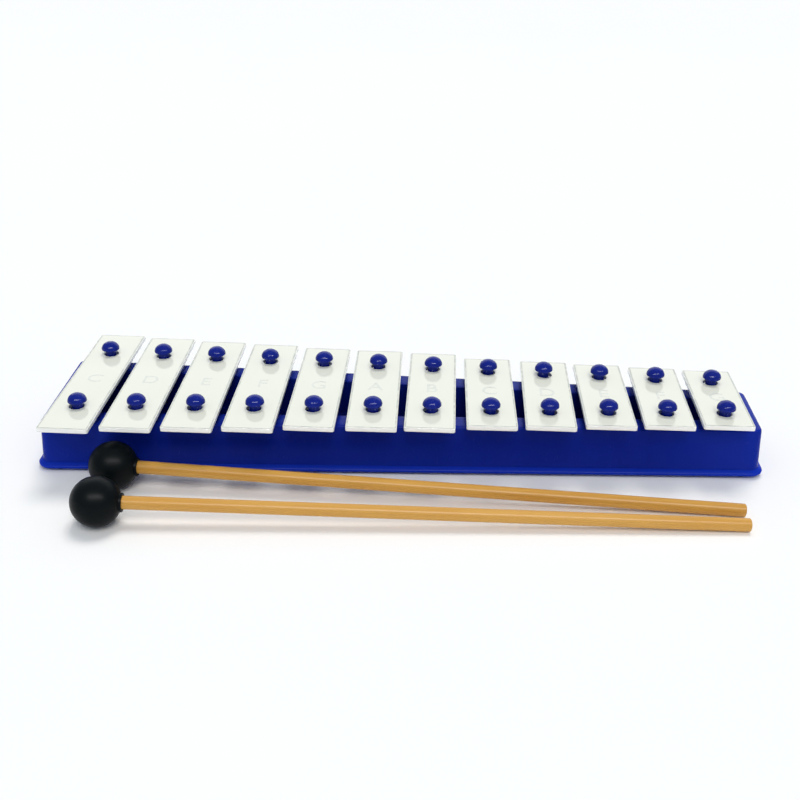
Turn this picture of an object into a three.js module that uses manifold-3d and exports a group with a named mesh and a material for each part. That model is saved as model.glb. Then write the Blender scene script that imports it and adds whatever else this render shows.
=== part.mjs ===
// Twelve-bar glockenspiel: enamelled steel bars on soft pins over a moulded resonator box,
// with its two rubber-headed mallets lying on the table in front of it.
// Millimetres, +Z up. X runs along the row with the low notes at -X, and the player sits at -Y.
import * as THREE from 'three';
import { mergeVertices } from 'three/addons/utils/BufferGeometryUtils.js';
import Module from 'manifold-3d';

const wasm = await Module();
wasm.setup();

// ---- driving dimensions: the bars ----
const BAR_LENGTHS = [110, 105, 100.5, 97, 91, 88.5, 85.5, 77, 74, 69.5, 66, 62.5];
const BAR_WIDTH = 25;
const BAR_THICKNESS = 2.3;
const BAR_GAP = 4.3;
const BAR_CORNER_RADIUS = 1.1;
const BAR_EDGE_RADIUS = 0.45;
const BAR_CORNER_STEPS = 2;
const BAR_HOLE_SIDES = 12;
const NODE_SHARE = 0.28;          // hole distance from the bar's middle, as a share of its length
const BAR_REST_GAP = 0.1;
// How each loose bar has settled on its pins: shift along X, shift along Y, turn in degrees.
const BAR_SETTLE = [
  [-0.3, 0.35, -0.8], [-0.4, 0.45, -0.5], [-0.55, 0.15, -0.4], [-0.4, 0.15, -0.6],
  [-0.3, 0.35, -0.7], [-0.1, 0.5, 0.3], [-0.45, 0.4, -0.5], [0.1, -0.1, 0.4],
  [0.4, -0.2, -0.8], [0.2, 0.35, 0.0], [0.0, 0.25, -0.6], [-0.35, 0.45, -0.2],
];

// ---- driving dimensions: the pins ----
const PIN_SPIGOT_RADIUS = 2.0;
const PIN_BARB_LIP = 0.65;        // how far the barb reaches past the spigot
const PIN_BARB_LENGTH = 2.6;
const PIN_TIP_RADIUS = 1.3;
const PIN_FOOT_RADIUS = 3.5;
const PIN_SHOULDER_LIP = 0.7;     // how far the shoulder reaches past the bar's hole
const PIN_SHOULDER_HEIGHT = 4.4;
const PIN_SHOULDER_FLARE = 1.3;
const PIN_NECK_RADIUS = 2.8;
const PIN_NECK_CLEAR = 3.0;       // how far a bar can rise before it meets the head
const PIN_HEAD_LIP = 1.0;         // how far the head reaches past the bar's hole
const PIN_HOLE_PLAY = 0.95;       // how loose the neck is in the bar's hole
const PIN_HEAD_RIM = 0.3;
const PIN_DOME_HEIGHT = 3.8;
const PIN_FIT = 0.3;
const PIN_SEAT_GAP = 0.1;
const PIN_BARB_CLEAR = 0.25;      // between the barb and the box's wall
const PIN_SIDES = 10;
const DOME_STEPS = 2;

// ---- driving dimensions: the resonator box ----
const END_MARGIN = 6.4;
const BOX_HEIGHT = 24.7;
const WALL = 2.0;
const LEDGE_THICKNESS = 2.6;
const LEDGE_WIDTH = 11.1;
const FLOOR_THICKNESS = 2.2;
const FLOOR_RECESS = 3.0;
const DRAFT = THREE.MathUtils.degToRad(3.5);
const TROUGH_DRAFT = THREE.MathUtils.degToRad(2);
const CORNER_RADIUS = 3.6;
const TROUGH_CORNER_RADIUS = 4.0;
const TOP_EDGE_RADIUS = 1.2;
const FLANGE_OUT = 2.2;
const FLANGE_TOP = 2.9;
const FLANGE_WIDEST = 1.2;
const FLANGE_EDGE_RADIUS = 0.9;
const WEB_THICKNESS = 1.6;
const CORNER_STEPS = 4;
const EDGE_STEPS = 2;
const FLARE_STEPS = 4;
const HOLE_SIDES = 16;
const CUT_PAST = 5;               // how far a cutting tool runs past the face it opens

// ---- driving dimensions: the feet ----
const FOOT_LIP = 1.2;             // how far the button reaches past its stem
const FOOT_HEIGHT = 1.6;
const FOOT_EDGE = 0.5;
const FOOT_STEM_RADIUS = 1.5;
const FOOT_STEM_LENGTH = 4.5;
const FOOT_FIT = 0.3;
const FOOT_SEAT_GAP = 0.1;
const FOOT_INSET_END = 11.2;
const FOOT_INSET_SIDE = 5.4;
const FOOT_POST_WALL = 2.4;
const FOOT_SIDES = 14;

// ---- driving dimensions: the mallets ----
const BALL_RADIUS = 12;
const COLLAR_RADIUS = 4.6;
const COLLAR_REACH = 12.3;        // from the ball's centre to the flat face round the shaft
const SHAFT_RADIUS = 3.2;
const SHAFT_FIT = 0.3;
const SHAFT_END_ROUND = 0.7;
const BORE_DEPTH = 17;
const BORE_END_GAP = 0.5;
const BALL_SIDES = 20;            // a multiple of four, so that a vertex touches the table
const BALL_HALF_STEPS = 4;
const SHAFT_SIDES = 12;
// Where the mallets lie: how far in from the box's ends, and the clear spaces between what lies side by side.
const REAR_BALL_IN = 40.05;
const REAR_END_IN = 14.05;
const FRONT_BALL_IN = 40.65;
const FRONT_END_IN = 14.65;
const FLANGE_TO_REAR_BALL = 0.85;
const FLANGE_TO_REAR_END = 30.1;
const BALL_TO_BALL = 8.8;
const END_TO_END = 6.1;

// ---- what follows from the driving dimensions ----
const BAR_COUNT = BAR_LENGTHS.length;
const BAR_PITCH = BAR_WIDTH + BAR_GAP;
const BAR_HOLE_RADIUS = PIN_NECK_RADIUS + PIN_HOLE_PLAY;
const PIN_HEAD_RADIUS = BAR_HOLE_RADIUS + PIN_HEAD_LIP;
const PIN_SHOULDER_RADIUS = BAR_HOLE_RADIUS + PIN_SHOULDER_LIP;
const PIN_BARB_RADIUS = PIN_SPIGOT_RADIUS + PIN_BARB_LIP;
const PIN_INSET = WALL + PIN_BARB_CLEAR + PIN_BARB_RADIUS;   // from a pin's axis to the ledge's outer edge
const FOOT_RADIUS = FOOT_STEM_RADIUS + FOOT_LIP;
const FOOT_POST_RADIUS = FOOT_STEM_RADIUS + FOOT_FIT + FOOT_POST_WALL;
const FIRST_BAR_X = -BAR_PITCH * (BAR_COUNT - 1) / 2;
const LAST_BAR_X = -FIRST_BAR_X;
const BOX_END_X = LAST_BAR_X + BAR_WIDTH / 2 + END_MARGIN;
const FIRST_ROW = BAR_LENGTHS[0] * NODE_SHARE;
const LAST_ROW = BAR_LENGTHS[BAR_COUNT - 1] * NODE_SHARE;
const TAPER = (FIRST_ROW - LAST_ROW) / (LAST_BAR_X - FIRST_BAR_X);
const BOX_BOTTOM = FOOT_HEIGHT + FOOT_SEAT_GAP;
const LEDGE_Z = BOX_BOTTOM + BOX_HEIGHT;
const BAR_BOTTOM = LEDGE_Z + PIN_SHOULDER_HEIGHT + BAR_REST_GAP;

// Half the distance between the front and back pin rows at a place along the box.
function rowAt(x) {
  return FIRST_ROW - TAPER * (x - FIRST_BAR_X);
}

const barX = (index) => FIRST_BAR_X + BAR_PITCH * index;
const finish = (color, roughness, metalness) =>
  new THREE.MeshStandardMaterial({ color, roughness, metalness });

const ENAMEL = finish(0xf0f0e6, 0.22, 0.0);
const PLASTIC = finish(0x14248c, 0.32, 0.0);
const PIN_PLASTIC = finish(0x1c2c9c, 0.38, 0.0);
const RUBBER = finish(0x101316, 0.62, 0.0);
const FOOT_RUBBER = finish(0x181a22, 0.8, 0.0);
const DOWEL = finish(0xcf9a55, 0.5, 0.0);

// ---- solids and cuts ----
function toSolid(geometry) {
  const bare = geometry.clone();
  bare.deleteAttribute('normal');
  bare.deleteAttribute('uv');
  const merged = mergeVertices(bare, 1e-4);
  const vertProperties = new Float32Array(merged.attributes.position.array);
  const triVerts = new Uint32Array(merged.index.array);
  return new wasm.Manifold(new wasm.Mesh({ numProp: 3, vertProperties, triVerts }));
}

function toGeometry(solid) {
  const mesh = solid.getMesh();
  const geometry = new THREE.BufferGeometry();
  const points = new Float32Array(mesh.vertProperties);
  geometry.setAttribute('position', new THREE.BufferAttribute(points, 3));
  geometry.setIndex(new THREE.BufferAttribute(new Uint32Array(mesh.triVerts), 1));
  geometry.computeVertexNormals();
  return geometry;
}

function namedMesh(name, geometry, material) {
  const mesh = new THREE.Mesh(geometry, material);
  mesh.name = name;
  return mesh;
}

// A lathe turned about Z. Its profile is a list of [radius, z] from the bottom axis point to the top one.
function turned(profile, sides) {
  const points = profile.map(([radius, z]) => new THREE.Vector2(radius, z));
  const geometry = new THREE.LatheGeometry(points, sides);
  geometry.rotateX(Math.PI / 2);
  return geometry;
}

function roundPeg(radius, bottom, top, x, y, sides) {
  const peg = new THREE.CylinderGeometry(radius, radius, top - bottom, sides);
  peg.rotateX(Math.PI / 2);
  peg.translate(x, y, (top + bottom) / 2);
  return toSolid(peg);
}

// ---- the box's tapered outline, set out or in from the ledge's outer edge ----
function taperedOutline(outset, radius) {
  const end = BOX_END_X + outset;
  const slant = outset * Math.hypot(1, TAPER);
  const depth = (x) => rowAt(x) + PIN_INSET + slant;
  const corners = [[-end, -depth(-end)], [end, -depth(end)], [end, depth(end)], [-end, depth(-end)]];
  const points = [];
  corners.forEach((corner, index) => {
    const here = new THREE.Vector2(...corner);
    const before = new THREE.Vector2(...corners[(index + 3) % 4]).sub(here).normalize();
    const after = new THREE.Vector2(...corners[(index + 1) % 4]).sub(here).normalize();
    const halfAngle = Math.acos(before.dot(after)) / 2;
    const inward = before.clone().add(after).normalize();
    const centre = here.clone().addScaledVector(inward, radius / Math.sin(halfAngle));
    const start = here.clone().addScaledVector(before, radius / Math.tan(halfAngle)).sub(centre);
    const sweep = Math.PI - 2 * halfAngle;
    for (let step = 0; step <= CORNER_STEPS; step += 1) {
      points.push(start.clone().rotateAround(new THREE.Vector2(), sweep * step / CORNER_STEPS).add(centre));
    }
  });
  return points;
}

// A closed solid through level outlines, given from the bottom up as [z, outset, corner radius].
function lofted(levels) {
  const rings = levels.map(([, outset, radius]) => taperedOutline(outset, radius));
  const count = rings[0].length;
  const positions = [];
  rings.forEach((ring, level) => {
    ring.forEach((point) => positions.push(point.x, point.y, levels[level][0]));
  });
  const bottomCentre = positions.length / 3;
  positions.push(0, 0, levels[0][0]);
  positions.push(0, 0, levels[levels.length - 1][0]);
  const topCentre = bottomCentre + 1;
  const topRing = (rings.length - 1) * count;
  const index = [];
  for (let i = 0; i < count; i += 1) {
    const next = (i + 1) % count;
    index.push(bottomCentre, next, i);
    index.push(topCentre, topRing + i, topRing + next);
    for (let level = 0; level < rings.length - 1; level += 1) {
      const low = level * count;
      const high = low + count;
      index.push(low + i, low + next, high + next);
      index.push(low + i, high + next, high + i);
    }
  }
  const geometry = new THREE.BufferGeometry();
  geometry.setAttribute('position', new THREE.Float32BufferAttribute(positions, 3));
  geometry.setIndex(index);
  return toSolid(geometry);
}

// ---- the resonator box ----
const wallOutset = (z) => (BOX_HEIGHT - z) * Math.tan(DRAFT);
const FLANGE_REACH = wallOutset(FLANGE_WIDEST) + FLANGE_OUT;

function boxSkin() {
  const levels = [];
  for (let step = 0; step <= EDGE_STEPS; step += 1) {
    const turn = Math.PI / 2 * step / EDGE_STEPS;
    const pullIn = FLANGE_EDGE_RADIUS * (1 - Math.sin(turn));
    levels.push([FLANGE_EDGE_RADIUS * (1 - Math.cos(turn)), FLANGE_REACH - pullIn]);
  }
  for (let step = 0; step <= FLARE_STEPS; step += 1) {
    const share = step / FLARE_STEPS;
    const z = FLANGE_WIDEST + (FLANGE_TOP - FLANGE_WIDEST) * share;
    levels.push([z, wallOutset(z) + FLANGE_OUT * Math.cos(Math.PI / 2 * share)]);
  }
  for (let step = 0; step <= EDGE_STEPS; step += 1) {
    const turn = Math.PI / 2 * step / EDGE_STEPS;
    const z = BOX_HEIGHT - TOP_EDGE_RADIUS * (1 - Math.sin(turn));
    levels.push([z, wallOutset(z) - TOP_EDGE_RADIUS * (1 - Math.cos(turn))]);
  }
  return lofted(levels.map(([z, outset]) => [z, outset, CORNER_RADIUS + outset]));
}

const troughInset = (z) => LEDGE_WIDTH + (BOX_HEIGHT - z) * Math.tan(TROUGH_DRAFT);

function troughTool() {
  const floor = FLOOR_RECESS + FLOOR_THICKNESS;
  const top = BOX_HEIGHT + CUT_PAST;
  return lofted([
    [floor, -troughInset(floor), TROUGH_CORNER_RADIUS],
    [top, -troughInset(top), TROUGH_CORNER_RADIUS],
  ]);
}

// The hollow under the ledges: open below, round the trough's own walls, and crossed by webs.
function undersideTool() {
  const ceiling = BOX_HEIGHT - LEDGE_THICKNESS;
  const innerRadius = CORNER_RADIUS - WALL + wallOutset(FLANGE_TOP);
  const hollow = lofted([
    [-CUT_PAST, wallOutset(0) - WALL, innerRadius],
    [0, wallOutset(0) - WALL, innerRadius],
    [ceiling, wallOutset(ceiling) - WALL, innerRadius],
  ]);
  const coreRadius = TROUGH_CORNER_RADIUS + WALL;
  const coreTop = ceiling + CUT_PAST;
  const core = lofted([
    [FLOOR_RECESS, WALL - troughInset(FLOOR_RECESS), coreRadius],
    [coreTop, WALL - troughInset(coreTop), coreRadius],
  ]);
  let tool = hollow.subtract(core);
  const webHeight = coreTop - FLOOR_RECESS;
  for (let index = 1; index < BAR_COUNT - 1; index += 2) {
    const web = new THREE.BoxGeometry(WEB_THICKNESS, 3 * FIRST_ROW, webHeight);
    web.translate(barX(index) + BAR_PITCH / 2, 0, FLOOR_RECESS + webHeight / 2);
    tool = tool.subtract(toSolid(web));
  }
  footPlaces().forEach(({ x, y }) => {
    tool = tool.subtract(roundPeg(FOOT_POST_RADIUS, -2 * CUT_PAST, coreTop, x, y, HOLE_SIDES));
  });
  return tool;
}

function resonatorBox() {
  let box = boxSkin().subtract(troughTool()).subtract(undersideTool());
  const holeRadius = PIN_SPIGOT_RADIUS + PIN_FIT;
  pinPlaces().forEach(({ x, y }) => {
    const bottom = BOX_HEIGHT - LEDGE_THICKNESS - 1;
    box = box.subtract(roundPeg(holeRadius, bottom, BOX_HEIGHT + 1, x, y, PIN_SIDES));
  });
  const stemHole = FOOT_STEM_RADIUS + FOOT_FIT;
  const stemTop = FOOT_STEM_LENGTH + FOOT_FIT;
  footPlaces().forEach(({ x, y }) => {
    box = box.subtract(roundPeg(stemHole, -CUT_PAST, stemTop, x, y, PIN_SIDES));
  });
  const mesh = namedMesh('resonator_box', toGeometry(box), PLASTIC);
  mesh.position.z = BOX_BOTTOM;
  return mesh;
}

// ---- the bars ----
// Points round an arc, from one quarter turn on through the next ones. A full circle leaves out its last one.
function arc(x, y, radius, quarter, quarters, steps) {
  const count = Math.abs(quarters) === 4 ? steps : steps + 1;
  return Array.from({ length: count }, (unused, step) => {
    const turn = Math.PI / 2 * (quarter + quarters * step / steps);
    return new THREE.Vector2(x + radius * Math.cos(turn), y + radius * Math.sin(turn));
  });
}

function barShape(index) {
  const width = BAR_WIDTH / 2 - BAR_EDGE_RADIUS;
  const length = BAR_LENGTHS[index] / 2 - BAR_EDGE_RADIUS;
  const radius = BAR_CORNER_RADIUS - BAR_EDGE_RADIUS;
  const corners = [[-1, -1], [1, -1], [1, 1], [-1, 1]];
  const outline = corners.flatMap(([sideX, sideY], quarter) =>
    arc(sideX * (width - radius), sideY * (length - radius), radius, quarter + 2, 1, BAR_CORNER_STEPS));
  const shape = new THREE.Shape(outline);
  const row = rowAt(barX(index));
  const holeRadius = BAR_HOLE_RADIUS + BAR_EDGE_RADIUS;
  [-row, row].forEach((y) => {
    shape.holes.push(new THREE.Path(arc(0, y, holeRadius, 0, -4, BAR_HOLE_SIDES)));
  });
  return shape;
}

function bar(index) {
  const geometry = new THREE.ExtrudeGeometry(barShape(index), {
    depth: BAR_THICKNESS - 2 * BAR_EDGE_RADIUS,
    bevelEnabled: true,
    bevelThickness: BAR_EDGE_RADIUS,
    bevelSize: BAR_EDGE_RADIUS,
    bevelSegments: 1,
  });
  geometry.translate(0, 0, BAR_EDGE_RADIUS);
  const mesh = namedMesh(`bar_${String(index + 1).padStart(2, '0')}`, geometry, ENAMEL);
  const [shiftX, shiftY, turn] = BAR_SETTLE[index];
  mesh.position.set(barX(index) + shiftX, shiftY, BAR_BOTTOM);
  mesh.rotation.z = THREE.MathUtils.degToRad(turn);
  return mesh;
}

// ---- the pins: spigot and barb under the ledge, shoulder under the bar, neck and domed head above ----
function pinPlaces() {
  return BAR_LENGTHS.flatMap((length, index) => {
    const x = barX(index);
    const number = String(index + 1).padStart(2, '0');
    return [
      { name: `pin_front_${number}`, x, y: -rowAt(x) },
      { name: `pin_back_${number}`, x, y: rowAt(x) },
    ];
  });
}

function pinProfile() {
  const barbTop = -LEDGE_THICKNESS - PIN_FIT;
  const shoulderTop = PIN_SHOULDER_HEIGHT;
  const neckTop = shoulderTop + BAR_REST_GAP + BAR_THICKNESS + PIN_NECK_CLEAR;
  const profile = [
    [0, barbTop - PIN_BARB_LENGTH], [PIN_TIP_RADIUS, barbTop - PIN_BARB_LENGTH],
    [PIN_BARB_RADIUS, barbTop], [PIN_SPIGOT_RADIUS, barbTop], [PIN_SPIGOT_RADIUS, PIN_SEAT_GAP],
    [PIN_FOOT_RADIUS, PIN_SEAT_GAP], [PIN_SHOULDER_RADIUS, PIN_SHOULDER_FLARE],
    [PIN_SHOULDER_RADIUS, shoulderTop], [PIN_NECK_RADIUS, shoulderTop], [PIN_NECK_RADIUS, neckTop],
    [PIN_HEAD_RADIUS, neckTop],
  ];
  const domeBase = neckTop + PIN_HEAD_RIM;
  for (let step = 0; step < DOME_STEPS; step += 1) {
    const turn = Math.PI / 2 * step / DOME_STEPS;
    profile.push([PIN_HEAD_RADIUS * Math.cos(turn), domeBase + PIN_DOME_HEIGHT * Math.sin(turn)]);
  }
  profile.push([0, domeBase + PIN_DOME_HEIGHT]);
  return profile;
}

function pin({ name, x, y }) {
  const mesh = namedMesh(name, turned(pinProfile(), PIN_SIDES), PIN_PLASTIC);
  mesh.position.set(x, y, LEDGE_Z);
  return mesh;
}

// ---- the feet: rubber buttons with a stem up into a post at each corner ----
function footPlaces() {
  const away = BOX_END_X + FLANGE_REACH - FOOT_INSET_END;
  return [-1, 1].flatMap((endSide) => [-1, 1].map((depthSide) => {
    const x = endSide * away;
    const y = depthSide * (rowAt(x) + PIN_INSET + FLANGE_REACH - FOOT_INSET_SIDE);
    const name = `foot_${depthSide < 0 ? 'front' : 'back'}_${endSide < 0 ? 'left' : 'right'}`;
    return { name, x, y };
  }));
}

function foot({ name, x, y }) {
  const profile = [
    [0, 0], [FOOT_RADIUS - FOOT_EDGE, 0], [FOOT_RADIUS, FOOT_EDGE], [FOOT_RADIUS, FOOT_HEIGHT],
    [FOOT_STEM_RADIUS, FOOT_HEIGHT], [FOOT_STEM_RADIUS, FOOT_HEIGHT + FOOT_STEM_LENGTH],
    [0, FOOT_HEIGHT + FOOT_STEM_LENGTH],
  ];
  const mesh = namedMesh(name, turned(profile, FOOT_SIDES), FOOT_RUBBER);
  mesh.position.set(x, y, 0);
  return mesh;
}

// ---- the mallets, turned about local Z with the ball's centre at the origin and the shaft along +Z ----
function malletHead() {
  const profile = [[0, -BALL_RADIUS]];
  const collarTurn = Math.asin(COLLAR_RADIUS / BALL_RADIUS);
  for (let step = 1; step <= 2 * BALL_HALF_STEPS; step += 1) {
    const backHalf = Math.PI * (1 - step / (2 * BALL_HALF_STEPS));
    const shaftHalf = collarTurn + (Math.PI / 2 - collarTurn) * (2 - step / BALL_HALF_STEPS);
    const turn = step < BALL_HALF_STEPS ? backHalf : shaftHalf;
    profile.push([BALL_RADIUS * Math.sin(turn), BALL_RADIUS * Math.cos(turn)]);
  }
  const boreRadius = SHAFT_RADIUS + SHAFT_FIT;
  profile.push([COLLAR_RADIUS, COLLAR_REACH], [boreRadius, COLLAR_REACH]);
  profile.push([boreRadius, COLLAR_REACH - BORE_DEPTH], [0, COLLAR_REACH - BORE_DEPTH]);
  return turned(profile, BALL_SIDES);
}

function malletShaft(reach) {
  const inner = COLLAR_REACH - BORE_DEPTH + BORE_END_GAP;
  const profile = [
    [0, inner], [SHAFT_RADIUS - SHAFT_END_ROUND, inner], [SHAFT_RADIUS, inner + SHAFT_END_ROUND],
    [SHAFT_RADIUS, reach - SHAFT_END_ROUND], [SHAFT_RADIUS - SHAFT_END_ROUND, reach], [0, reach],
  ];
  return turned(profile, SHAFT_SIDES);
}

// Where the flange's front edge stands at a place along the box.
const flangeFrontY = (x) => -(rowAt(x) + PIN_INSET + FLANGE_REACH);

// Each mallet's ball centre and the middle of its shaft's free end, seen from above.
function malletPlaces() {
  const ballX = REAR_BALL_IN - BOX_END_X;
  const endX = BOX_END_X - REAR_END_IN;
  const ballY = flangeFrontY(ballX) - FLANGE_TO_REAR_BALL - BALL_RADIUS;
  const endY = flangeFrontY(endX) - FLANGE_TO_REAR_END - SHAFT_RADIUS;
  const frontBall = [FRONT_BALL_IN - BOX_END_X, ballY - BALL_TO_BALL - 2 * BALL_RADIUS];
  const frontEnd = [BOX_END_X - FRONT_END_IN, endY - END_TO_END - 2 * SHAFT_RADIUS];
  return [
    { side: 'rear', ball: [ballX, ballY], end: [endX, endY] },
    { side: 'front', ball: frontBall, end: frontEnd },
  ];
}

// The ball and the shaft's free end both touch the table, so the shaft slopes down from the ball.
function mallet({ side, ball, end }) {
  const run = Math.hypot(end[0] - ball[0], end[1] - ball[1]);
  const drop = Math.atan2(BALL_RADIUS - SHAFT_RADIUS, run);
  const shaftEndZ = SHAFT_RADIUS * Math.cos(drop);
  const centre = new THREE.Vector3(ball[0], ball[1], BALL_RADIUS);
  const tip = new THREE.Vector3(end[0], end[1], shaftEndZ);
  const along = tip.clone().sub(centre);
  const lying = new THREE.Group();
  lying.position.copy(centre);
  lying.quaternion.setFromUnitVectors(new THREE.Vector3(0, 0, 1), along.clone().normalize());
  lying.add(namedMesh(`mallet_${side}_head`, malletHead(), RUBBER));
  lying.add(namedMesh(`mallet_${side}_shaft`, malletShaft(along.length()), DOWEL));
  return lying;
}

// ---- the whole set, standing on z = 0 with its middle over the origin ----
const glockenspiel = new THREE.Group();
glockenspiel.add(resonatorBox());
BAR_LENGTHS.forEach((length, index) => glockenspiel.add(bar(index)));
pinPlaces().forEach((place) => glockenspiel.add(pin(place)));
footPlaces().forEach((place) => glockenspiel.add(foot(place)));
malletPlaces().forEach((lie) => glockenspiel.add(mallet(lie)));

glockenspiel.updateMatrixWorld(true);
const extent = new THREE.Box3().setFromObject(glockenspiel, true);
const middle = extent.getCenter(new THREE.Vector3());
glockenspiel.position.set(-middle.x, -middle.y, -extent.min.z);

export default glockenspiel;
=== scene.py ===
import math

import bmesh
import bpy
from mathutils import Matrix, Vector


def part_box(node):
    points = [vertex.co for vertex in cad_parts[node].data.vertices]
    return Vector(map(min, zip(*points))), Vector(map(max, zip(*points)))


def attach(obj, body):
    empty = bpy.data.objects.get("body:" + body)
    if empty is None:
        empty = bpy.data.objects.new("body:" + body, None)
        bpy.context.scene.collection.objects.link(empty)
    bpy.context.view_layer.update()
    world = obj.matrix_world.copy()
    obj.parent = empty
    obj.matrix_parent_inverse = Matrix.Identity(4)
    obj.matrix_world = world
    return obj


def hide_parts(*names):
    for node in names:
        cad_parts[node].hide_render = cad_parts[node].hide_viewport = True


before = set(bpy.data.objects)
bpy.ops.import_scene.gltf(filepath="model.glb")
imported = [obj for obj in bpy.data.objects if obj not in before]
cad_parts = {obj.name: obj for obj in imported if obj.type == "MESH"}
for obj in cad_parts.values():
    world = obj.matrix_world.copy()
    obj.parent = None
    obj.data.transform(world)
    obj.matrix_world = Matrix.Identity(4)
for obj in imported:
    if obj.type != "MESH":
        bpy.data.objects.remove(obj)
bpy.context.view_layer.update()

# Twelve-bar glockenspiel. Sizes are in millimetres, measured from the table and from the box's middle line.
MM = 0.001

# ---- bars ----
BAR_LENGTHS = [110, 105, 100.5, 97, 91, 88.5, 85.5, 77, 74, 69.5, 66, 62.5]
BAR_TURNS = [-0.8, -0.5, -0.4, -0.6, -0.7, 0.3, -0.5, 0.4, -0.8, 0.0, -0.6, -0.2]
BAR_NOTES = "CDEFGABCDEFG"
BAR_WIDTH = 25
BAR_THICKNESS = 2.3
BAR_GAP = 4.3
BAR_CORNER = 1.1
BAR_EDGE = 0.35
BAR_HOLD = 0.12
RIM_WIDTH = 0.5
RIM_FADE = 0.3
NODE_SHARE = 0.28
REST_GAP = 0.1
MARK_SIZE = 12.0
MARK_RAISE = 0.035
MARK_EDGE = 0.02
MARK_WELD = 0.001

# ---- pins ----
SPIGOT = 2.0
BARB = 2.65
BARB_LENGTH = 2.6
TIP = 1.3
PIN_FOOT = 3.5
SHOULDER_LIP = 0.7
SHOULDER_HEIGHT = 4.4
SHOULDER_FLARE = 1.3
NECK = 2.8
NECK_CLEAR = 3.0
HOLE_PLAY = 0.95
HEAD_LIP = 1.0
HEAD_RIM = 0.3
DOME = 3.8
PIN_FIT = 0.3
SEAT_GAP = 0.1
BARB_CLEAR = 0.25

# ---- box ----
END_MARGIN = 6.4
BOX_HEIGHT = 24.7
WALL = 2.0
LEDGE = 2.6
LEDGE_WIDTH = 11.1
FLOOR = 2.2
FLOOR_RECESS = 3.0
DRAFT = math.tan(math.radians(3.5))
TROUGH_DRAFT = math.tan(math.radians(2))
BOX_CORNER = 3.6
TROUGH_CORNER = 4.0
TOP_EDGE = 1.2
TROUGH_LIP = 0.5
TROUGH_FILLET = 1.2
FLANGE_OUT = 2.2
FLANGE_TOP = 2.9
FLANGE_WIDEST = 1.2
FLANGE_EDGE = 0.9
WEB = 1.6

# ---- feet ----
FOOT_STEM = 1.5
FOOT_LIP = 1.2
FOOT_HEIGHT = 1.6
FOOT_EDGE = 0.5
STEM_LENGTH = 4.5
FOOT_FIT = 0.3
FOOT_INSET_END = 11.2
FOOT_INSET_SIDE = 5.4
POST_WALL = 2.4

# ---- mallets ----
BALL = 12
COLLAR = 4.6
COLLAR_REACH = 12.3
COLLAR_EDGE = 0.35
SHAFT = 3.2
SHAFT_FIT = 0.3
SHAFT_END_ROUND = 0.7
BORE_DEPTH = 17
BORE_END_GAP = 0.5

# ---- what follows from those ----
PITCH = BAR_WIDTH + BAR_GAP
FIRST_X = -PITCH * (len(BAR_LENGTHS) - 1) / 2
BOX_END = -FIRST_X + BAR_WIDTH / 2 + END_MARGIN
FIRST_ROW = BAR_LENGTHS[0] * NODE_SHARE
TAPER = (FIRST_ROW - BAR_LENGTHS[-1] * NODE_SHARE) / (-2 * FIRST_X)
PIN_INSET = WALL + BARB_CLEAR + BARB
HOLE = NECK + HOLE_PLAY
HEAD = HOLE + HEAD_LIP
SHOULDER = HOLE + SHOULDER_LIP
BOX_BOTTOM = FOOT_HEIGHT + SEAT_GAP
LEDGE_TOP = BOX_BOTTOM + BOX_HEIGHT
BAR_BOTTOM = LEDGE_TOP + SHOULDER_HEIGHT + REST_GAP
BAR_TOP = BAR_BOTTOM + BAR_THICKNESS

lowest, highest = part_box("resonator_box")
MIDDLE = Matrix.Translation(((lowest.x + highest.x) / 2, (lowest.y + highest.y) / 2, 0))
scene = bpy.context.scene


def row_at(x):
    """Half the distance between the two rows of pins, at a place along the box."""
    return FIRST_ROW - TAPER * (x - FIRST_X)


def bar_x(index):
    return FIRST_X + PITCH * index


def number(index):
    return f"{index + 1:02d}"


# ---- finishes ----
PATTERN_SPREAD = 400              # how far apart two pieces' patterns are taken from
PAINTED_END_LIGHT_START = 0.62             # where painted light on the box's ends starts, as a share of the way to its end


class Wire:
    """A socket of a finish. Arithmetic on it adds Math nodes."""

    def __init__(self, finish, socket):
        self.finish = finish
        self.socket = socket

    def maths(self, operation, *terms):
        return self.finish.node("ShaderNodeMath", {"operation": operation}, dict(enumerate(terms)))

    def __add__(self, other):
        return self.maths("ADD", self, other)

    def __sub__(self, other):
        return self.maths("SUBTRACT", self, other)

    def __mul__(self, other):
        return self.maths("MULTIPLY", self, other)

    def __rsub__(self, other):
        return self.maths("SUBTRACT", other, self)

    __radd__ = __add__
    __rmul__ = __mul__

    def above(self, start, full):
        """0 up to start, 1 from full on, and a smooth rise between."""
        return self.finish.node(
            "ShaderNodeMapRange",
            {"interpolation_type": "SMOOTHSTEP"},
            {"Value": self, "From Min": start, "From Max": full},
        )


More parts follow.
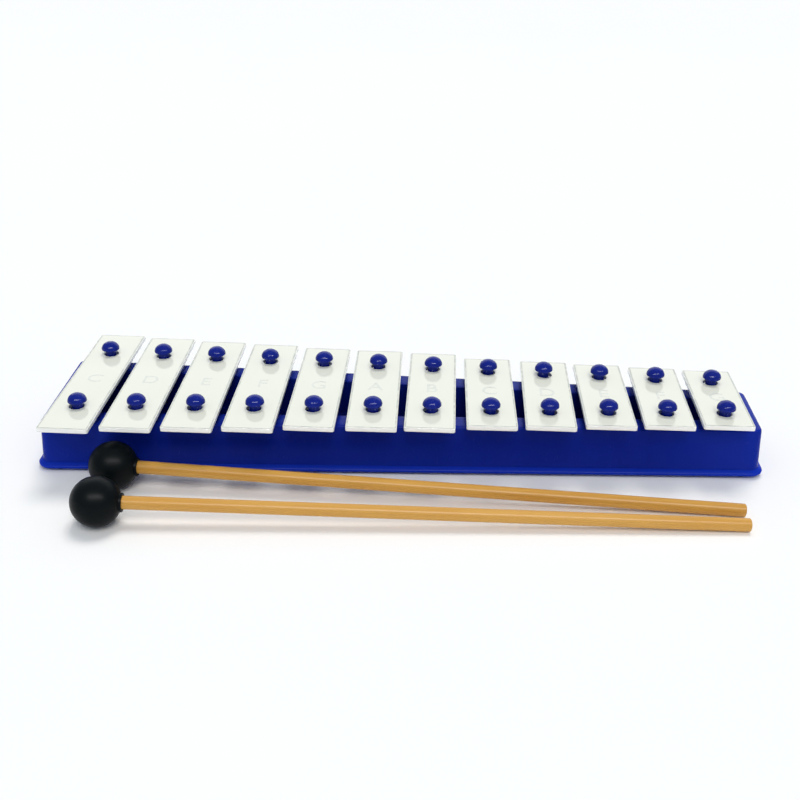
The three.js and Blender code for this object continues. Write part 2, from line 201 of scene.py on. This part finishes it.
class Finish:
    """A material with one Principled shader."""

    def __init__(self, name, constants):
        self.material = bpy.data.materials.new(name)
        self.material.use_nodes = True
        self.tree = self.material.node_tree
        self.tree.nodes.clear()
        self.shader = self.tree.nodes.new("ShaderNodeBsdfPrincipled")
        output = self.tree.nodes.new("ShaderNodeOutputMaterial")
        self.tree.links.new(self.shader.outputs[0], output.inputs["Surface"])
        for socket, value in constants.items():
            self.shader.inputs[socket].default_value = value

    def node(self, kind, settings, inputs, output=0):
        made = self.tree.nodes.new(kind)
        for key, value in settings.items():
            setattr(made, key, value)
        for key, value in inputs.items():
            if isinstance(value, Wire):
                self.tree.links.new(value.socket, made.inputs[key])
            else:
                made.inputs[key].default_value = value
        return Wire(self, made.outputs[output])

    def place(self, stretch=(1, 1, 1)):
        """The point on the piece in its own millimetres, stretched along its own axes."""
        here = self.node("ShaderNodeAttribute", {"attribute_name": "own_place"}, {}, "Vector")
        shift = self.node("ShaderNodeObjectInfo", {}, {}, "Random") * PATTERN_SPREAD
        terms = {0: here, 1: stretch, 2: shift}
        return self.node("ShaderNodeVectorMath", {"operation": "MULTIPLY_ADD"}, terms)

    def noise(self, size, detail=2.0, stretch=(1, 1, 1), distortion=0.0):
        """Cloudy noise whose patches are about size millimetres across."""
        inputs = {
            "Vector": self.place(stretch),
            "Scale": 1 / size,
            "Detail": detail,
            "Distortion": distortion,
        }
        return self.node("ShaderNodeTexNoise", {}, inputs, "Fac")

    def mix(self, share, first, second):
        return self.node("ShaderNodeMix", {"data_type": "RGBA"}, {0: share, 6: first, 7: second}, 2)

    def bump(self, height, distance):
        """Relief whose height runs from 0 to distance millimetres."""
        inputs = {"Height": height, "Distance": distance * MM, "Strength": 1.0}
        return self.node("ShaderNodeBump", {}, inputs)

    def feed(self, **wires):
        for socket, wire in wires.items():
            self.tree.links.new(wire.socket, self.shader.inputs[socket.replace("_", " ")])
        return self.material


def colour(red, green, blue):
    return (red, green, blue, 1.0)


def blue_moulding():
    """Glossy royal-blue plastic with cloudy pigment, flow streaks, pale edges, and painted light: a
    brighter flange top and brighter ends.
    """
    finish = Finish("blue_moulding", {"IOR": 1.46, "Specular IOR Level": 0.06})
    cloud = finish.noise(38, 3.0)
    streak = finish.noise(3.2, 2.0, (1, 1, 0.12))
    fine = finish.noise(0.55, 2.0)
    deep = colour(0.0030, 0.0128, 0.205)
    clear = colour(0.0044, 0.0190, 0.285)
    # the brighter blue below is painted light for the flange's top and the box's ends
    painted_light_blue = colour(0.0070, 0.0380, 0.520)
    pale = colour(0.030, 0.070, 0.44)
    here = finish.node("ShaderNodeAttribute", {"attribute_name": "own_place"}, {}, "Vector")
    along, up = (finish.node("ShaderNodeSeparateXYZ", {}, {0: here}, axis) for axis in ("X", "Z"))
    flange_top = BOX_BOTTOM + FLANGE_TOP
    # Painted light: the flange's top and the box's two ends are painted brighter blue, for the light they
    # catch.
    lip = 1 - up.above(flange_top - 0.3, flange_top + 0.2)
    end = along.maths("ABSOLUTE", along).above(PAINTED_END_LIGHT_START * BOX_END, BOX_END)
    tone = finish.mix(cloud * 0.7 + streak * 0.3, deep, clear)
    tone_with_painted_light = finish.mix(lip * 0.50 + end * 0.22, tone, painted_light_blue)
    edge = finish.node("ShaderNodeNewGeometry", {}, {}, "Pointiness").above(0.52, 0.60)
    scuff = finish.noise(1.1, 4.0, (1, 1, 0.35)).above(0.60, 0.72)
    worn = edge * 0.20 + scuff * edge * 0.25
    roughness = cloud * 0.05 + fine * 0.05 + scuff * 0.05 + 0.20
    relief = finish.bump(finish.noise(1.6, 1.0) * 0.6 + fine * 0.1, 0.010)
    return finish.feed(Base_Color=finish.mix(worn, tone_with_painted_light, pale), Roughness=roughness, Normal=relief)


def pin_plastic():
    """Glossy blue plastic of the pins, with handling marks on the domes."""
    finish = Finish("pin_plastic", {"IOR": 1.46, "Specular IOR Level": 0.20})
    cloud = finish.noise(4.5, 2.0)
    fine = finish.noise(0.35, 3.0)
    rub = finish.noise(0.9, 4.0).above(0.58, 0.72)
    tone = finish.mix(cloud, colour(0.0040, 0.0120, 0.190), colour(0.0065, 0.0185, 0.265))
    worn = finish.mix(rub * 0.06, tone, colour(0.03, 0.06, 0.42))
    relief = finish.bump(fine * 0.5 + cloud * 0.5, 0.006)
    return finish.feed(Base_Color=worn, Roughness=cloud * 0.05 + rub * 0.08 + 0.13, Normal=relief)


def bar_enamel():
    """Warm white stove enamel: orange peel, pinholes, a painted shade line along the top's edge at the
    ends, and upright faces painted whiter as painted light.
    """
    finish = Finish("bar_enamel", {"IOR": 1.5, "Specular IOR Level": 0.55})
    cloud = finish.noise(26, 3.0)
    peel = finish.noise(3.4, 1.5)
    cream = finish.mix(cloud, colour(0.765, 0.785, 0.680), colour(0.810, 0.825, 0.735))
    speck = finish.noise(0.42, 1.0).above(0.80, 0.86)
    dusty = finish.mix(speck * 0.35, cream, colour(0.28, 0.29, 0.27))
    # Painted shade: a grey line along the top's edge at the bar's ends, patchy where the noise is high.
    rim = finish.node("ShaderNodeAttribute", {"attribute_name": "rim"}, {}, "Fac")
    patchy_rim_shade = rim * finish.noise(5.0, 3.0).above(0.30, 0.62)
    tone_with_rim_shade = finish.mix(patchy_rim_shade * 0.45 + rim * 0.25, dusty, colour(0.34, 0.37, 0.35))
    # Painted light: the upright faces are painted whiter than the top, for the light they catch from the
    # front.
    side = finish.node("ShaderNodeAttribute", {"attribute_name": "side"}, {}, "Fac")
    tone_with_lit_sides = finish.mix(side, tone_with_rim_shade, colour(0.985, 0.985, 0.955))
    relief = finish.bump(peel + speck * -0.6, 0.0035)
    return finish.feed(Base_Color=tone_with_lit_sides, Roughness=cloud * 0.03 + peel * 0.02 + 0.035, Normal=relief)


def mark_grey():
    """The enamel of the pressed notes, painted slightly grey as painted shade for the shade round the
    letters' edges.
    """
    finish = Finish("mark_grey", {"IOR": 1.5, "Specular IOR Level": 0.5})
    cloud = finish.noise(3.0, 3.0)
    tone = finish.mix(cloud, colour(0.64, 0.67, 0.62), colour(0.76, 0.785, 0.72))
    return finish.feed(Base_Color=tone, Roughness=cloud * 0.06 + 0.12, Normal=finish.bump(cloud, 0.006))


def ball_rubber():
    """Satin black rubber with a fine grain, faintly dusty."""
    finish = Finish("ball_rubber", {"IOR": 1.45, "Specular IOR Level": 0.08})
    grain = finish.noise(0.30, 3.0)
    cloud = finish.noise(9, 3.0)
    dust = finish.noise(0.8, 5.0).above(0.56, 0.76)
    tone = finish.mix(cloud, colour(0.0026, 0.0042, 0.0050), colour(0.0042, 0.0062, 0.0070))
    dusty = finish.mix(dust * 0.06, tone, colour(0.024, 0.030, 0.033))
    relief = finish.bump(grain, 0.022)
    return finish.feed(Base_Color=dusty, Roughness=cloud * 0.08 + grain * 0.05 + 0.30, Normal=relief)


def foot_rubber():
    """Dark, slightly bluish rubber buttons with a fine grain."""
    finish = Finish("foot_rubber", {"IOR": 1.45, "Specular IOR Level": 0.2})
    grain = finish.noise(0.25, 3.0)
    cloud = finish.noise(1.8, 2.0)
    tone = finish.mix(cloud, colour(0.005, 0.010, 0.070), colour(0.010, 0.018, 0.105))
    return finish.feed(Base_Color=tone, Roughness=grain * 0.15 + 0.62, Normal=finish.bump(grain, 0.03))


def dowel_wood(name, pale, dark):
    """Waxed dowel: long growth streaks and short pores along the shaft."""
    finish = Finish(name, {"IOR": 1.45, "Specular IOR Level": 0.30})
    streak = finish.noise(1.5, 3.0, (1, 1, 0.022), 0.4)
    band = finish.noise(24, 2.0, (1, 1, 0.4))
    pore = finish.noise(0.28, 2.0, (1, 1, 0.045)).above(0.60, 0.70)
    grain = (streak * 0.55 + band * 0.45).above(0.30, 0.70)
    tone = finish.mix(grain, dark, pale)
    pored = finish.mix(pore * 0.16, tone, colour(0.30, 0.15, 0.04))
    relief = finish.bump(streak * 0.4 - pore * 0.6, 0.02)
    return finish.feed(Base_Color=pored, Roughness=pore * 0.10 + streak * 0.08 + 0.26, Normal=relief)


def floor_paper():
    """Plain pale paper under the set."""
    finish = Finish("floor_paper", {"IOR": 1.4, "Specular IOR Level": 0.05})
    tone = finish.mix(finish.noise(140, 2.0), colour(0.950, 0.962, 0.975), colour(0.965, 0.975, 0.985))
    return finish.feed(Base_Color=tone, Roughness=finish.noise(6, 2.0) * 0.1 + 0.8)


BLUE = blue_moulding()
PIN_BLUE = pin_plastic()
ENAMEL = bar_enamel()
MARK_SHADE_GREY = mark_grey()
RUBBER = ball_rubber()
FOOT_NAVY = foot_rubber()
# The rear dowel's wood is painted darker than the front's: painted shade for the box beside it.
REAR_DOWEL_SHADED = dowel_wood("dowel_wood_rear", colour(0.660, 0.362, 0.074), colour(0.540, 0.262, 0.046))
FRONT_DOWEL_LIT = dowel_wood("dowel_wood_front", colour(0.700, 0.388, 0.090), colour(0.625, 0.320, 0.066))
PAPER = floor_paper()


# ---- mesh work ----
SMOOTH_TO = 32                    # degrees between two faces, up to which their edge is smooth
PEG_SIDES = 24


def as_piece(name, body, material, place):
    """A mesh in millimetres becomes a named object in metres, moved to that place, smooth up to SMOOTH_TO.

    The vector layer own_place keeps each point's millimetres for the finishes.
    """
    bmesh.ops.recalc_face_normals(body, faces=body.faces)
    own_place = body.verts.layers.float_vector.new("own_place")
    for vertex in body.verts:
        vertex[own_place] = vertex.co
    body.transform(place @ Matrix.Scale(MM, 4))
    mesh = bpy.data.meshes.new(name)
    body.to_mesh(mesh)
    body.free()
    mesh.materials.append(material)
    mesh.shade_smooth()
    mesh.set_sharp_from_angle(angle=math.radians(SMOOTH_TO))
    piece = bpy.data.objects.new(name, mesh)
    scene.collection.objects.link(piece)
    return piece


def stands_for(piece, node, body):
    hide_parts(node)
    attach(piece, body)


def skin_between(body, low_ring, high_ring):
    count = len(low_ring)
    for here in range(count):
        ahead = (here + 1) % count
        body.faces.new((low_ring[here], low_ring[ahead], high_ring[ahead], high_ring[here]))


def turned(profile, sides):
    """A lathe turned about Z, from the axis at the bottom to the axis at the top."""
    body = bmesh.new()
    rings = []
    for radius, z in profile[1:-1]:
        turn = 2 * math.pi / sides
        rings.append([body.verts.new((radius * math.cos(turn * i), radius * math.sin(turn * i), z))
                      for i in range(sides)])
    for low_ring, high_ring in zip(rings, rings[1:]):
        skin_between(body, low_ring, high_ring)
    for ring, (_, z) in ((rings[0], profile[0]), (rings[-1], profile[-1])):
        tip = body.verts.new((0, 0, z))
        for here in range(sides):
            body.faces.new((ring[here], ring[(here + 1) % sides], tip))
    return body


def rounding(centre_radius, centre_z, radius, start, sweep, steps):
    """Profile points round an edge. Angles are in quarter turns from straight out."""
    points = []
    for step in range(steps + 1):
        turn = math.pi / 2 * (start + sweep * step / steps)
        points.append((centre_radius + radius * math.cos(turn), centre_z + radius * math.sin(turn)))
    return points


def tapered_outline(outset, radius, steps):
    """The box's plan outline, set out from its ledge's outer edge, with rounded corners."""
    end = BOX_END + outset
    slant = outset * math.hypot(1, TAPER)
    left, right = (row_at(side * end) + PIN_INSET + slant for side in (-1, 1))
    corners = [Vector(c) for c in ((-end, -left), (end, -right), (end, right), (-end, left))]
    points = []
    for index, here in enumerate(corners):
        before = (corners[index - 1] - here).normalized()
        after = (corners[(index + 1) % 4] - here).normalized()
        half = math.acos(before.dot(after)) / 2
        centre = here + (before + after).normalized() * radius / math.sin(half)
        start = here + before * radius / math.tan(half) - centre
        sweep = math.pi - 2 * half
        for step in range(steps + 1):
            points.append(centre + Matrix.Rotation(sweep * step / steps, 2) @ start)
    return points


def lofted(levels, steps=10):
    """A closed solid through level outlines, given from the bottom up as (z, outset, corner radius)."""
    body = bmesh.new()
    rings = [[body.verts.new((*point, z)) for point in tapered_outline(outset, radius, steps)]
             for z, outset, radius in levels]
    for low_ring, high_ring in zip(rings, rings[1:]):
        skin_between(body, low_ring, high_ring)
    body.faces.new(rings[0])
    body.faces.new(rings[-1])
    return body


def block(width, depth, height, centre):
    body = bmesh.new()
    sized = Matrix.Translation(centre) @ Matrix.Diagonal((width, depth, height, 1))
    bmesh.ops.create_cube(body, size=1, matrix=sized)
    return body


def peg(radius, bottom, top, x, y):
    body = turned([(0, bottom), (radius, bottom), (radius, top), (0, top)], PEG_SIDES)
    body.transform(Matrix.Translation((x, y, 0)))
    return body


def carve(solid, tool):
    """The first solid with the second one cut from it. Both are used up."""
    made = []
    for body in (solid, tool):
        bmesh.ops.recalc_face_normals(body, faces=body.faces)
        mesh = bpy.data.meshes.new("work")
        body.to_mesh(mesh)
        body.free()
        made.append(bpy.data.objects.new("work", mesh))
        scene.collection.objects.link(made[-1])
    modifier = made[0].modifiers.new("cut", "BOOLEAN")
    modifier.object = made[1]
    modifier.operation = "DIFFERENCE"
    modifier.solver = "EXACT"
    result = bmesh.new()
    result.from_object(made[0], bpy.context.evaluated_depsgraph_get())
    for work in made:
        mesh = work.data
        bpy.data.objects.remove(work)
        bpy.data.meshes.remove(mesh)
    return result


def joined(bodies):
    """Solids that don't touch each other, as one mesh."""
    whole = bmesh.new()
    for body in bodies:
        mesh = bpy.data.meshes.new("work")
        body.to_mesh(mesh)
        body.free()
        whole.from_mesh(mesh)
        bpy.data.meshes.remove(mesh)
    return whole


# ---- the resonator box ----
CUT_PAST = 5                      # how far a cutting shape runs past the face it cuts


def wall_out(z):
    return (BOX_HEIGHT - z) * DRAFT


def trough_in(z):
    return LEDGE_WIDTH + (BOX_HEIGHT - z) * TROUGH_DRAFT


FLANGE_REACH = wall_out(FLANGE_WIDEST) + FLANGE_OUT


def box_skin():
    """The box's outside: a thin convex flange, the drafted wall, and a rounded top edge."""
    profile = rounding(FLANGE_REACH - FLANGE_EDGE, FLANGE_EDGE, FLANGE_EDGE, -1, 1, 6)
    flare_steps, top_steps = 10, 7
    for step in range(flare_steps + 1):
        share = step / flare_steps
        z = FLANGE_WIDEST + (FLANGE_TOP - FLANGE_WIDEST) * share
        profile.append((wall_out(z) + FLANGE_OUT * math.cos(math.pi / 2 * share), z))
    top_turns = rounding(-TOP_EDGE, BOX_HEIGHT - TOP_EDGE, TOP_EDGE, 0, 1, top_steps)
    for step, (outset, z) in enumerate(top_turns):
        profile.append((outset + wall_out(z) * (1 - step / top_steps), z))
    return lofted([(z, outset, BOX_CORNER + outset) for outset, z in profile])


def trough():
    floor = FLOOR_RECESS + FLOOR
    bend = rounding(-trough_in(floor) - TROUGH_FILLET, floor + TROUGH_FILLET, TROUGH_FILLET, -1, 1, 5)
    lip_z = BOX_HEIGHT - TROUGH_LIP
    lip = rounding(-trough_in(lip_z) + TROUGH_LIP, lip_z, TROUGH_LIP, 2, -1, 5)
    profile = bend + lip + [(lip[-1][0], BOX_HEIGHT + CUT_PAST)]
    return lofted([(z, outset, TROUGH_CORNER + outset + LEDGE_WIDTH) for outset, z in profile])


def foot_places():
    away = BOX_END + FLANGE_REACH - FOOT_INSET_END
    for end, end_name in ((-1, "left"), (1, "right")):
        x = end * away
        reach = row_at(x) + PIN_INSET + FLANGE_REACH - FOOT_INSET_SIDE
        for side, side_name in ((-1, "front"), (1, "back")):
            yield f"foot_{side_name}_{end_name}", x, side * reach


def underside():
    """The hollow below the ledges, round the trough's walls, with its webs and foot posts left standing."""
    ceiling = BOX_HEIGHT - LEDGE
    top = ceiling + CUT_PAST
    inner_corner = BOX_CORNER - WALL + wall_out(FLANGE_TOP)
    hollow = lofted([(z, wall_out(max(z, 0)) - WALL, inner_corner) for z in (-CUT_PAST, 0, ceiling)], 6)
    core = lofted([(z, WALL - trough_in(z), TROUGH_CORNER + WALL) for z in (FLOOR_RECESS, top)], 6)
    web_middle = (FLOOR_RECESS + top) / 2
    webs = [block(WEB, 3 * FIRST_ROW, top - FLOOR_RECESS, (bar_x(index) + PITCH / 2, 0, web_middle))
            for index in range(1, len(BAR_LENGTHS) - 1, 2)]
    post = FOOT_STEM + FOOT_FIT + POST_WALL
    posts = [peg(post, -2 * CUT_PAST, top, x, y) for _, x, y in foot_places()]
    return carve(carve(carve(hollow, core), joined(webs)), joined(posts))


def pin_places():
    for index in range(len(BAR_LENGTHS)):
        x = bar_x(index)
        yield f"pin_front_{number(index)}", x, -row_at(x)
        yield f"pin_back_{number(index)}", x, row_at(x)


def resonator_box():
    body = carve(carve(box_skin(), trough()), underside())
    pin_bottom, pin_top = BOX_HEIGHT - LEDGE - 1, BOX_HEIGHT + 1
    foot_top = STEM_LENGTH + FOOT_FIT
    holes = [peg(SPIGOT + PIN_FIT, pin_bottom, pin_top, x, y) for _, x, y in pin_places()]
    holes += [peg(FOOT_STEM + FOOT_FIT, -CUT_PAST, foot_top, x, y) for _, x, y in foot_places()]
    body = carve(body, joined(holes))
    body.transform(Matrix.Translation((0, 0, BOX_BOTTOM)))
    stands_for(as_piece("box_moulding", body, BLUE, MIDDLE), "resonator_box", "resonator")


# ---- the bars ----
EDGE_STEPS = 5
HOLE_SIDES = 40


def bar_outline(length, inset):
    """A bar's plan outline, pulled in all round, from the front left corner on."""
    radius = BAR_CORNER - inset
    half_width, half_length = BAR_WIDTH / 2 - BAR_CORNER, length / 2 - BAR_CORNER
    points = []
    for quarter, (side_x, side_y) in enumerate(((-1, -1), (1, -1), (1, 1), (-1, 1))):
        for x, y in rounding(side_x * half_width, side_y * half_length, radius, quarter + 2, 1, 8):
            points.append((x, y))
    return points


def hole_outline(y, radius):
    turns = [math.pi * step / (HOLE_SIDES / 2) for step in range(HOLE_SIDES)]
    return [(radius * math.cos(turn), y - radius * math.sin(turn)) for turn in turns]


def bar_mesh(length, row):
    """Flat faces with small round edges, outside and in both holes.

    The float layer rim marks the top's edge at the bar's ends, where a painted shade line goes, and side
    marks the upright faces, which get painted light.
    """
    low_edge = rounding(0, BAR_EDGE, BAR_EDGE, -1, 1, EDGE_STEPS)
    high_edge = rounding(0, BAR_THICKNESS - BAR_EDGE, BAR_EDGE, 0, 1, EDGE_STEPS)
    levels = [(BAR_EDGE + BAR_HOLD, 0.0)]
    levels += [(BAR_EDGE - reach, z) for reach, z in low_edge + high_edge]
    levels += [(BAR_EDGE + inset, BAR_THICKNESS) for inset in (BAR_HOLD, RIM_WIDTH, RIM_WIDTH + RIM_FADE)]
    body = bmesh.new()
    for mask in ("rim", "side"):
        body.verts.layers.float.new(mask)
    rim_mask, side_mask = (body.verts.layers.float[mask] for mask in ("rim", "side"))
    caps = ([], [])
    loops = (
        lambda inset: bar_outline(length, inset),
        lambda inset: hole_outline(-row, HOLE + inset),
        lambda inset: hole_outline(row, HOLE + inset),
    )
    last = len(levels) - 1
    for loop in loops:
        rings = []
        outside = loop is loops[0]
        for level, (inset, z) in enumerate(levels):
            rings.append([body.verts.new((x, y, z)) for x, y in loop(inset)])
            marked = outside and last - 3 <= level <= last - 1
            upright = outside and 3 <= level <= last - 6
            for vertex in rings[-1]:
                at_end = abs(vertex.co.y) > length / 2 - BAR_CORNER - 0.1
                vertex[rim_mask] = 1.0 if marked and at_end else 0.0
                vertex[side_mask] = 1.0 if upright else 0.0
        for low_ring, high_ring in zip(rings, rings[1:]):
            skin_between(body, low_ring, high_ring)
        for cap, ring in zip(caps, (rings[0], rings[-1])):
            for here in range(len(ring)):
                cap.append(body.edges.get((ring[here], ring[(here + 1) % len(ring)])))
    for cap in caps:
        bmesh.ops.triangle_fill(body, use_beauty=True, use_dissolve=False, edges=cap)
    return body


def note_mark(index, place):
    """The bar's note letter, raised a hair's breadth out of the enamel between its pins."""
    name = f"note_mark_{number(index)}"
    text = bpy.data.curves.new(name, "FONT")
    text.body = BAR_NOTES[index]
    text.size = MARK_SIZE
    text.extrude = MARK_RAISE
    text.bevel_depth = MARK_EDGE
    text.align_x = "CENTER"
    text.align_y = "CENTER"
    maker = bpy.data.objects.new(name, text)
    scene.collection.objects.link(maker)
    body = bmesh.new()
    shaped = maker.evaluated_get(bpy.context.evaluated_depsgraph_get())
    body.from_mesh(shaped.to_mesh())
    shaped.to_mesh_clear()
    bpy.data.objects.remove(maker)
    bmesh.ops.remove_doubles(body, verts=body.verts, dist=MARK_WELD)
    body.transform(Matrix.Translation((0, 0, BAR_THICKNESS)))
    mark = as_piece(name, body, MARK_SHADE_GREY, place)
    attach(mark, f"bar_{number(index)}_body")


def bars():
    for index, length in enumerate(BAR_LENGTHS):
        node = f"bar_{number(index)}"
        low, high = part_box(node)
        middle = (low + high) / 2
        place = (Matrix.Translation((middle.x, middle.y, BAR_BOTTOM * MM))
                 @ Matrix.Rotation(math.radians(BAR_TURNS[index]), 4, "Z"))
        piece = as_piece(f"{node}_enamelled", bar_mesh(length, row_at(bar_x(index))), ENAMEL, place)
        stands_for(piece, node, f"{node}_body")
        note_mark(index, place)


# ---- the pins ----
DOME_STEPS = 15
PIN_SIDES = 40
TIP_BEVEL = 0.3
BARB_BEVEL = 0.1
BARB_LAND = 0.25
SHOULDER_EDGE = 0.25
NECK_ROOT = 0.25
HEAD_EDGE = 0.14


def pin_profile():
    """From the barb's tip up: barb, spigot, flared foot, shoulder, neck, rounded rim and dome."""
    barb_top = -LEDGE - PIN_FIT
    tip_z = barb_top - BARB_LENGTH
    neck_top = SHOULDER_HEIGHT + REST_GAP + BAR_THICKNESS + NECK_CLEAR
    dome_base = neck_top + HEAD_RIM
    profile = [(0, tip_z), (TIP - TIP_BEVEL, tip_z), (TIP, tip_z + TIP_BEVEL)]
    profile += [(BARB - BARB_BEVEL, barb_top - BARB_LAND), (BARB, barb_top - BARB_BEVEL)]
    profile.append((BARB - BARB_BEVEL, barb_top))
    profile.append((SPIGOT, barb_top))
    profile += [(SPIGOT, SEAT_GAP), (PIN_FOOT, SEAT_GAP), (SHOULDER, SHOULDER_FLARE)]
    profile += rounding(SHOULDER - SHOULDER_EDGE, SHOULDER_HEIGHT - SHOULDER_EDGE, SHOULDER_EDGE, 0, 1, 3)
    profile += [(NECK + NECK_ROOT, SHOULDER_HEIGHT), (NECK, SHOULDER_HEIGHT + NECK_ROOT)]
    profile += [(NECK, neck_top - 0.3), (NECK + 0.08, neck_top - 0.1), (NECK + 0.3, neck_top)]
    profile += rounding(HEAD - HEAD_EDGE, neck_top + HEAD_EDGE, HEAD_EDGE, -1, 1, 4)
    for step in range(DOME_STEPS):
        turn = math.pi / 2 * step / DOME_STEPS
        profile.append((HEAD * math.cos(turn), dome_base + DOME * math.sin(turn)))
    return profile + [(0, dome_base + DOME)]


def pins():
    for node, x, y in pin_places():
        place = MIDDLE @ Matrix.Translation(Vector((x, y, LEDGE_TOP)) * MM)
        piece = as_piece(f"{node}_moulded", turned(pin_profile(), PIN_SIDES), PIN_BLUE, place)
        stands_for(piece, node, "resonator")


# ---- the feet ----
FOOT_SIDES = 28


def feet():
    foot = FOOT_STEM + FOOT_LIP
    profile = [(0, 0)] + rounding(foot - FOOT_EDGE, FOOT_EDGE, FOOT_EDGE, -1, 1, 4)
    profile += rounding(foot - 0.15, FOOT_HEIGHT - 0.15, 0.15, 0, 1, 3)
    stem_top = FOOT_HEIGHT + STEM_LENGTH
    profile += [(FOOT_STEM, FOOT_HEIGHT), (FOOT_STEM, stem_top - 0.2)]
    profile += [(FOOT_STEM - 0.2, stem_top), (0, stem_top)]
    for node, x, y in foot_places():
        place = MIDDLE @ Matrix.Translation(Vector((x, y, 0)) * MM)
        button = as_piece(f"{node}_button", turned(profile, FOOT_SIDES), FOOT_NAVY, place)
        stands_for(button, node, "resonator")


# ---- the mallets ----
BALL_STEPS = 40
BALL_SIDES = 72
SHAFT_SIDES = 40


def ball_profile():
    collar_turn = math.asin(COLLAR / BALL)
    profile = [(0, -BALL)]
    for step in range(1, BALL_STEPS + 1):
        turn = math.pi - (math.pi - collar_turn) * step / BALL_STEPS
        profile.append((BALL * math.sin(turn), BALL * math.cos(turn)))
    profile += rounding(COLLAR - COLLAR_EDGE, COLLAR_REACH - COLLAR_EDGE, COLLAR_EDGE, 0, 1, 4)
    bore = SHAFT + SHAFT_FIT
    profile += [(bore + 0.2, COLLAR_REACH), (bore, COLLAR_REACH - 0.2)]
    return profile + [(bore, COLLAR_REACH - BORE_DEPTH), (0, COLLAR_REACH - BORE_DEPTH)]


def shaft_profile(reach):
    inner = COLLAR_REACH - BORE_DEPTH + BORE_END_GAP
    flat = SHAFT - SHAFT_END_ROUND
    profile = [(0, inner)]
    profile += rounding(flat, inner + SHAFT_END_ROUND, SHAFT_END_ROUND, -1, 1, 4)
    profile += rounding(flat, reach - SHAFT_END_ROUND, SHAFT_END_ROUND, 0, 1, 6)
    return profile + [(0, reach)]


def mallet(side, wood):
    """The ball and the shaft's free end both touch the table, so the shaft slopes down from the ball."""
    head_low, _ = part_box(f"mallet_{side}_head")
    shaft_low, shaft_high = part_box(f"mallet_{side}_shaft")
    centre = Vector((head_low.x + BALL * MM, head_low.y + BALL * MM, BALL * MM))
    end_y = shaft_low.y + SHAFT * MM if side == "rear" else shaft_high.y - SHAFT * MM
    tip = Vector((shaft_high.x, end_y, SHAFT * MM))
    along = tip - centre
    place = Matrix.Translation(centre) @ along.to_track_quat("Z", "Y").to_matrix().to_4x4()
    head = as_piece(f"mallet_{side}_ball", turned(ball_profile(), BALL_SIDES), RUBBER, place)
    stands_for(head, f"mallet_{side}_head", f"mallet_{side}")
    stick = turned(shaft_profile(along.length / MM), SHAFT_SIDES)
    shaft = as_piece(f"mallet_{side}_dowel", stick, wood, place)
    stands_for(shaft, f"mallet_{side}_shaft", f"mallet_{side}")


resonator_box()
bars()
pins()
feet()
mallet("rear", REAR_DOWEL_SHADED)
mallet("front", FRONT_DOWEL_LIT)


# ---- floor, light and camera ----
SHEET_REACH = 6.0                 # metres from the middle to each side
SKY = (0.755, 0.86, 0.98, 1.0)
SKY_STRENGTH = 0.46
WARM = (1.0, 0.945, 0.875)
SENSOR = 36
LENS = 50.314
CAMERA_HEADING = 1.87             # degrees
CAMERA_TILT = 27.40
CAMERA_ROLL = 0.92
CAMERA_PLACE = (14.787, -516.05, 260.65)    # millimetres from the box's middle and the bars' top


def floor():
    body = bmesh.new()
    bmesh.ops.create_grid(body, x_segments=8, y_segments=8, size=SHEET_REACH / MM)
    sheet = as_piece("floor", body, PAPER, Matrix.Identity(4))


def aimed(light, place, mirrored, lighting):
    """Points a light at the set. It may show in shiny faces, light dull ones, or both."""
    lamp = bpy.data.objects.new(light.name, light)
    scene.collection.objects.link(lamp)
    aim = -Vector(place)
    lamp.matrix_world = Matrix.Translation(place) @ aim.to_track_quat("-Z", "Y").to_matrix().to_4x4()
    lamp.visible_camera = False
    lamp.visible_glossy = mirrored
    lamp.visible_diffuse = lighting


def softbox(name, place, width, depth, power):
    light = bpy.data.lights.new(name, "AREA")
    light.shape = "RECTANGLE"
    light.size, light.size_y = width, depth
    light.energy = power
    aimed(light, place, True, False)


def far_light(name, place, spread, power, tint):
    light = bpy.data.lights.new(name, "SUN")
    light.angle = math.radians(spread)
    light.energy = power
    light.color = tint
    aimed(light, place, False, True)


def surroundings():
    world = bpy.data.worlds.new("white_room")
    world.use_nodes = True
    scene.world = world
    background = world.node_tree.nodes["Background"]
    background.inputs["Color"].default_value = SKY
    background.inputs["Strength"].default_value = SKY_STRENGTH
    far_light("top_light", (0.10, 0.30, 0.90), spread=26, power=1.27, tint=WARM)
    far_light("front_light", (0.12, -0.62, 0.82), spread=30, power=1.18, tint=WARM)
    softbox("strip", (0.10, -0.66, 0.86), width=1.30, depth=0.10, power=14.0)
    softbox("back_card", (0.0, 1.15, 0.62), width=2.4, depth=1.0, power=9.0)


def camera():
    data = bpy.data.cameras.new("camera")
    data.sensor_width = SENSOR
    data.lens = LENS
    data.clip_start = 0.01
    data.dof.use_dof = False
    viewer = bpy.data.objects.new("camera", data)
    scene.collection.objects.link(viewer)
    x, y, above_bars = CAMERA_PLACE
    place = Matrix.Translation(Vector((x, y, BAR_TOP + above_bars)) * MM)
    heading = Matrix.Rotation(math.radians(CAMERA_HEADING), 4, "Z")
    tilt = Matrix.Rotation(math.radians(90 - CAMERA_TILT), 4, "X")
    roll = Matrix.Rotation(math.radians(CAMERA_ROLL), 4, "Z")
    viewer.matrix_world = MIDDLE @ place @ heading @ tilt @ roll
    scene.camera = viewer


floor()
surroundings()
camera()
scene.view_settings.view_transform = "Standard"
scene.view_settings.look = "None"
